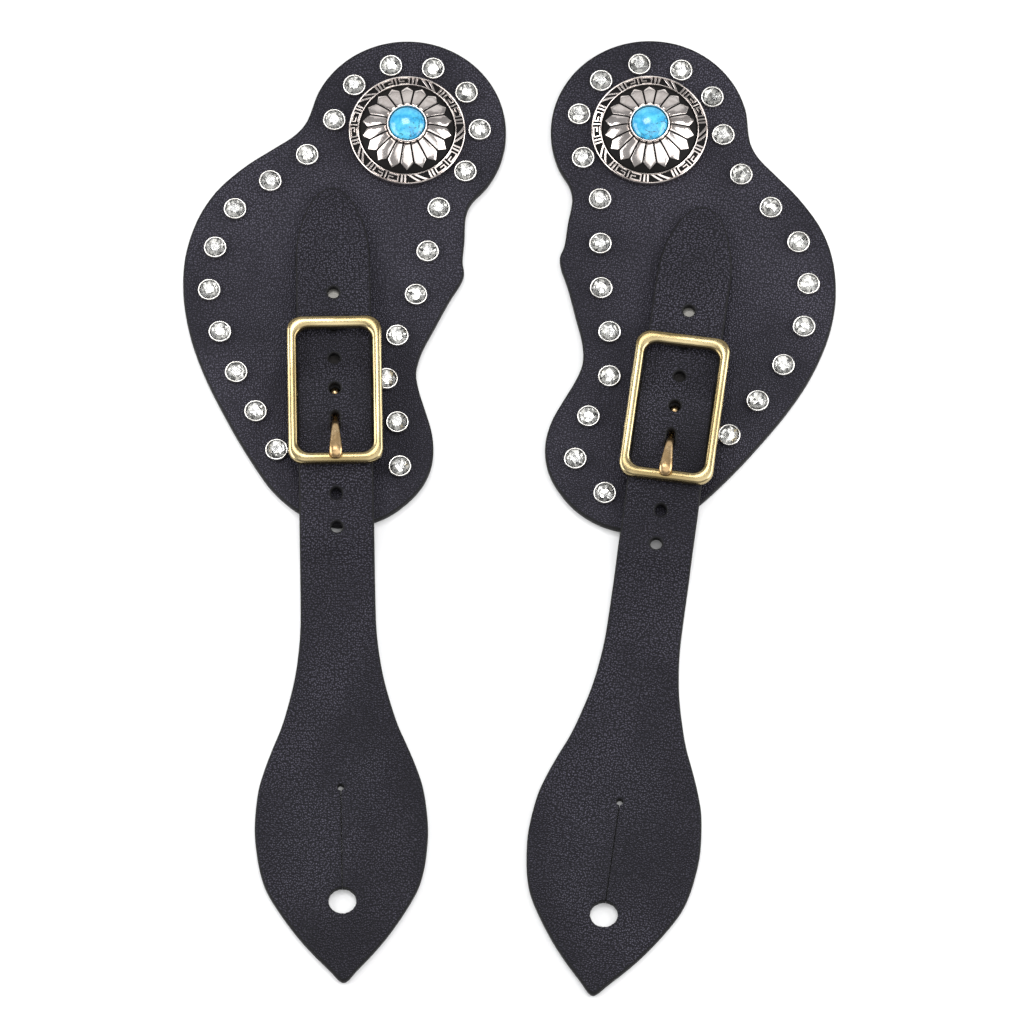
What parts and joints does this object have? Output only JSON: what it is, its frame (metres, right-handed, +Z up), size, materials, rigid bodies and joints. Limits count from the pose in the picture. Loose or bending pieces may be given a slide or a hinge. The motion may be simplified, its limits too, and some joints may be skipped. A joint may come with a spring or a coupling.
{
  "type": "pair of western spur straps",
  "caption": "Left and right leather spur straps with studded tongue, buckled billet, button-hole leaf and a turquoise concho.",
  "frame": {"origin": "on the ground under the middle of the pair's box", "axes": "+X from the left strap to the right strap, +Y along the straps towards the conchos, +Z up out of the grain side"},
  "size_m": [0.1669, 0.2619, 0.0123],
  "materials": {
    "tongue_leather": "black fine-pebbled leather with a soft sheen and black cut edges",
    "billet_leather": "black fine-pebbled leather with a soft sheen and black cut edges",
    "chape_leather": "thin black leather",
    "buckle_brass": "satin pale gold brass",
    "prong_brass": "satin copper-toned brass",
    "antique_nickel": "polished nickel with blackened recesses",
    "stud_nickel": "bright nickel",
    "plain_nickel": "plain nickel",
    "turquoise": "polished sky-blue stone with dark veins",
    "crystal": "clear faceted crystal over foil"
  },
  "bodies": {
    "left_tongue": {"left_tongue_body": "tongue_leather", "left_billet": "billet_leather", "left_billet_tail": "billet_leather", "left_chape": "chape_leather", "left_chape_rivets": "plain_nickel", "left_chape_rivet_caps": "plain_nickel", "left_concho_screw": "plain_nickel", "left_stud_rims": "stud_nickel", "left_stud_crystals": "crystal", "left_stud_backs": "plain_nickel"},
    "left_leaf": {"left_billet_leaf": "billet_leather"},
    "left_buckle": {"left_buckle_frame": "buckle_brass"},
    "left_prong": {"left_buckle_prong": "prong_brass"},
    "left_concho": {"left_concho_shell": "antique_nickel", "left_concho_bezel": "antique_nickel", "left_concho_stone": "turquoise"},
    "right_tongue": {"right_tongue_body": "tongue_leather", "right_billet": "billet_leather", "right_billet_tail": "billet_leather", "right_chape": "chape_leather", "right_chape_rivets": "plain_nickel", "right_chape_rivet_caps": "plain_nickel", "right_concho_screw": "plain_nickel", "right_stud_rims": "stud_nickel", "right_stud_crystals": "crystal", "right_stud_backs": "plain_nickel"},
    "right_leaf": {"right_billet_leaf": "billet_leather"},
    "right_buckle": {"right_buckle_frame": "buckle_brass"},
    "right_prong": {"right_buckle_prong": "prong_brass"},
    "right_concho": {"right_concho_shell": "antique_nickel", "right_concho_bezel": "antique_nickel", "right_concho_stone": "turquoise"}
  },
  "joints": [
    {"name": "left_leaf_flex", "type": "hinge", "parent": "left_tongue", "child": "left_leaf", "pos_m": [-0.04381, -0.01799, 0.0009], "axis": [-0.9999, -0.0157, 0], "range_deg": [0, 60]},
    {"name": "left_buckle_rock", "type": "hinge", "parent": "left_tongue", "child": "left_buckle", "pos_m": [-0.0446, 0.032, 0.00435], "axis": [-0.9999, -0.0157, 0], "range_deg": [0, 1.5]},
    {"name": "left_prong_lift", "type": "hinge", "parent": "left_buckle", "child": "left_prong", "pos_m": [-0.0446, 0.032, 0.00435], "axis": [-0.9999, -0.0157, 0], "range_deg": [0, 6]},
    {"name": "left_concho_turn", "type": "hinge", "parent": "left_tongue", "child": "left_concho", "pos_m": [-0.02625, 0.1055, 0.0025], "axis": [0, 0, 1], "continuous": true},
    {"name": "right_leaf_flex", "type": "hinge", "parent": "right_tongue", "child": "right_leaf", "pos_m": [0.03549, -0.02246, 0.0009], "axis": [-0.9912, 0.1323, 0], "range_deg": [0, 60]},
    {"name": "right_buckle_rock", "type": "hinge", "parent": "right_tongue", "child": "right_buckle", "pos_m": [0.0421, 0.0271, 0.00435], "axis": [-0.9912, 0.1323, 0], "range_deg": [0, 1.5]},
    {"name": "right_prong_lift", "type": "hinge", "parent": "right_buckle", "child": "right_prong", "pos_m": [0.0421, 0.0271, 0.00435], "axis": [-0.9912, 0.1323, 0], "range_deg": [0, 6]},
    {"name": "right_concho_turn", "type": "hinge", "parent": "right_tongue", "child": "right_concho", "pos_m": [0.03583, 0.10562, 0.0025], "axis": [0, 0, 1], "continuous": true},
    {"name": "right_strap_slide", "type": "slide", "parent": "left_tongue", "child": "right_tongue", "axis": [1, 0, 0], "range_m": [0, 0.06]}
  ]
}
